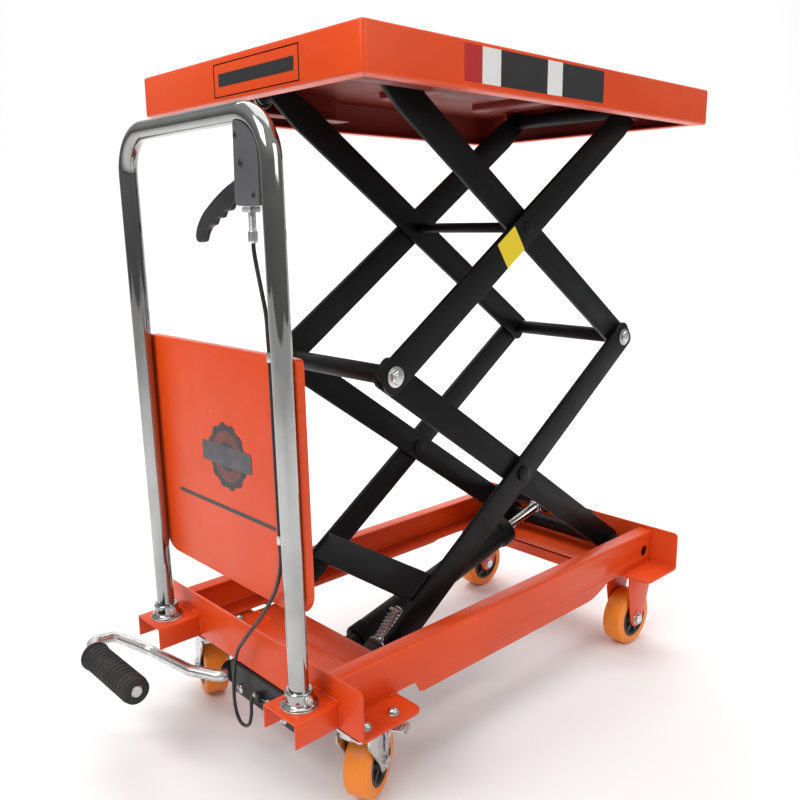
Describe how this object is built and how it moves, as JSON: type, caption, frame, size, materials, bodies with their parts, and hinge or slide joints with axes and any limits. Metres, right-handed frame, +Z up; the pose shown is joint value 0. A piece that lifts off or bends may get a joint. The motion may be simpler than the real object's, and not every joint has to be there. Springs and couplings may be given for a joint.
{
  "type": "scissor lift table",
  "caption": "Mobile double-scissor lift table: folded platform on crossed arms, wheeled base frame, fixed push handle with front panel, foot pump pedal and hand release.",
  "frame": {"origin": "on the floor, under the middle of the whole object's box", "axes": "+X along the table away from the push handle, +Y to the left, +Z up"},
  "size_m": [0.9226, 0.4986, 0.9617],
  "materials": {
    "orange_paint": "gloss powder coat",
    "black_paint": "satin black paint",
    "chrome": "polished chrome",
    "zinc": "bright zinc plate",
    "steel": "machined steel",
    "tyre": "orange polyurethane",
    "hub": "black moulded",
    "lever": "black moulded",
    "grip": "ribbed black rubber",
    "cable": "black sheathed cable",
    "grey": "grey cast housing"
  },
  "bodies": {
    "base": {"rail_left": "orange_paint", "rail_right": "orange_paint", "front_cross_angle": "orange_paint", "rear_cross_angle": "orange_paint", "rear_fork_left": "orange_paint", "rear_fork_right": "orange_paint", "pump_base_plate": "orange_paint", "handle_bracket_left": "orange_paint", "handle_bracket_right": "orange_paint", "handle_tube": "chrome", "handle_collar_left": "chrome", "handle_collar_right": "chrome", "handle_panel": "orange_paint", "release_housing": "grey", "cable_adjuster": "zinc", "release_cable": "cable", "pump_body": "black_paint", "base_pivot_shaft": "black_paint", "caster_plate_left": "zinc", "caster_plate_right": "zinc"},
    "lower_inner": {"lower_inner_arm_left": "black_paint", "lower_inner_arm_right": "black_paint", "middle_front_shaft": "black_paint", "lift_bracket": "black_paint"},
    "lower_outer": {"lower_outer_arm_left": "black_paint", "lower_outer_arm_right": "black_paint", "lower_cross_plate": "black_paint"},
    "upper_outer": {"upper_outer_arm_left": "black_paint", "upper_outer_arm_right": "black_paint", "upper_crossing_shaft": "black_paint"},
    "upper_inner": {"upper_inner_arm_left": "black_paint", "upper_inner_arm_right": "black_paint", "middle_rear_shaft": "black_paint"},
    "platform": {"deck": "orange_paint", "deck_bracket_left": "orange_paint", "deck_bracket_right": "orange_paint", "deck_pivot_shaft": "black_paint"},
    "low_roller_left": {"lower_roller_left": "steel"},
    "low_roller_right": {"lower_roller_right": "steel"},
    "top_roller_left": {"upper_roller_left": "steel"},
    "top_roller_right": {"upper_roller_right": "steel"},
    "cylinder": {"cylinder_tube": "black_paint"},
    "rod": {"piston_rod": "chrome"},
    "plunger": {"pump_plunger": "steel", "pump_spring": "steel"},
    "pedal": {"foot_pedal": "steel", "pedal_grip": "grip"},
    "squeeze_lever": {"release_lever": "lever"},
    "valve": {"valve_lever": "zinc"},
    "caster_left": {"caster_fork_left": "zinc"},
    "caster_right": {"caster_fork_right": "zinc"},
    "brake": {"brake_pedal": "zinc"},
    "front_wheel_left": {"front_wheel_left_hub": "hub", "front_wheel_left_tyre": "tyre"},
    "front_wheel_right": {"front_wheel_right_hub": "hub", "front_wheel_right_tyre": "tyre"},
    "rear_wheel_left": {"rear_wheel_left_hub": "hub", "rear_wheel_left_tyre": "tyre"},
    "rear_wheel_right": {"rear_wheel_right_hub": "hub", "rear_wheel_right_tyre": "tyre"}
  },
  "joints": [
    {"name": "lift", "type": "hinge", "parent": "base", "child": "lower_inner", "pos_m": [0.42325, -0.0093, 0.168], "axis": [0, 1, 0], "range_deg": [-28.4, 17.48]},
    {"name": "lower_crossing", "type": "hinge", "parent": "lower_inner", "child": "lower_outer", "pos_m": [0.14529, -0.0093, 0.36119], "axis": [0, 1, 0], "range_deg": [-35.06, 56.9]},
    {"name": "front_middle_joint", "type": "hinge", "parent": "lower_inner", "child": "upper_outer", "pos_m": [-0.13267, -0.0093, 0.55437], "axis": [0, 1, 0], "range_deg": [-35.06, 56.9]},
    {"name": "upper_crossing", "type": "hinge", "parent": "upper_outer", "child": "upper_inner", "pos_m": [0.14529, -0.0093, 0.74756], "axis": [0, 1, 0], "range_deg": [-56.9, 35.06]},
    {"name": "platform_hinge", "type": "hinge", "parent": "upper_outer", "child": "platform", "pos_m": [0.42325, -0.0093, 0.94075], "axis": [0, 1, 0], "range_deg": [-28.5, 17.58]},
    {"name": "low_roller_spin_left", "type": "hinge", "parent": "lower_outer", "child": "low_roller_left", "pos_m": [-0.13267, 0.1567, 0.168], "axis": [0, 1, 0], "continuous": true},
    {"name": "top_roller_spin_left", "type": "hinge", "parent": "upper_inner", "child": "top_roller_left", "pos_m": [-0.13267, 0.1567, 0.94075], "axis": [0, 1, 0], "continuous": true},
    {"name": "low_roller_spin_right", "type": "hinge", "parent": "lower_outer", "child": "low_roller_right", "pos_m": [-0.13267, -0.1753, 0.168], "axis": [0, 1, 0], "continuous": true},
    {"name": "top_roller_spin_right", "type": "hinge", "parent": "upper_inner", "child": "top_roller_right", "pos_m": [-0.13267, -0.1753, 0.94075], "axis": [0, 1, 0], "continuous": true},
    {"name": "cylinder_tilt", "type": "hinge", "parent": "base", "child": "cylinder", "pos_m": [-0.13075, -0.0093, 0.108], "axis": [0, 1, 0], "range_deg": [-1.76, 2.8]},
    {"name": "rod_pin", "type": "hinge", "parent": "lower_inner", "child": "rod", "pos_m": [0.36474, -0.0093, 0.22966], "axis": [0, 1, 0], "range_deg": [-19.24, 31.2]},
    {"name": "plunger_slide", "type": "slide", "parent": "base", "child": "plunger", "axis": [-0.7193, 0, -0.6947], "range_m": [0, 0.0185]},
    {"name": "pedal_hinge", "type": "hinge", "parent": "base", "child": "pedal", "pos_m": [-0.28875, 0.0547, 0.108], "axis": [0, -1, 0], "range_deg": [0, 20], "stiffness_Nm_per_rad": 6, "springref_deg": -28.65},
    {"name": "squeeze_lever_pivot", "type": "hinge", "parent": "base", "child": "squeeze_lever", "pos_m": [-0.34625, -0.1343, 0.82], "axis": [1, 0, 0], "range_deg": [0, 10], "stiffness_Nm_per_rad": 0.5, "springref_deg": -28.65},
    {"name": "valve_lever_pivot", "type": "hinge", "parent": "base", "child": "valve", "pos_m": [-0.30475, -0.0943, 0.108], "axis": [1, 0, 0], "range_deg": [0, 15.1]},
    {"name": "caster_swivel_left", "type": "hinge", "parent": "base", "child": "caster_left", "pos_m": [-0.25225, 0.1707, 0.12], "axis": [0, 0, 1], "continuous": true},
    {"name": "front_wheel_spin_left", "type": "hinge", "parent": "caster_left", "child": "front_wheel_left", "pos_m": [-0.24199, 0.19889, 0.05], "axis": [-0.9397, 0.342, 0], "continuous": true},
    {"name": "rear_wheel_spin_left", "type": "hinge", "parent": "base", "child": "rear_wheel_left", "pos_m": [0.39125, 0.1681, 0.05], "axis": [0, 1, 0], "continuous": true},
    {"name": "caster_swivel_right", "type": "hinge", "parent": "base", "child": "caster_right", "pos_m": [-0.25225, -0.1893, 0.12], "axis": [0, 0, 1], "continuous": true},
    {"name": "front_wheel_spin_right", "type": "hinge", "parent": "caster_right", "child": "front_wheel_right", "pos_m": [-0.22529, -0.17615, 0.05], "axis": [-0.4384, 0.8988, 0], "continuous": true},
    {"name": "rear_wheel_spin_right", "type": "hinge", "parent": "base", "child": "rear_wheel_right", "pos_m": [0.39125, -0.1867, 0.05], "axis": [0, 1, 0], "continuous": true},
    {"name": "brake_pedal_pivot", "type": "hinge", "parent": "caster_right", "child": "brake", "pos_m": [-0.20885, -0.19617, 0.088], "axis": [-0.4384, 0.8988, 0], "range_deg": [-9, 12]}
  ],
  "couplings": [
    {"joint": "lower_crossing", "follows": "lift", "ratio": -2},
    {"joint": "front_middle_joint", "follows": "lift", "ratio": -2},
    {"joint": "upper_crossing", "follows": "lift", "ratio": 2},
    {"joint": "platform_hinge", "follows": "lift", "ratio": 1},
    {"joint": "cylinder_tilt", "follows": "lift", "ratio": -0.095},
    {"joint": "rod_pin", "follows": "lift", "ratio": -1.095},
    {"joint": "plunger_slide", "follows": "pedal_hinge", "m_per_rad": 0.0516},
    {"joint": "valve_lever_pivot", "follows": "squeeze_lever_pivot", "ratio": 1.5}
  ]
}
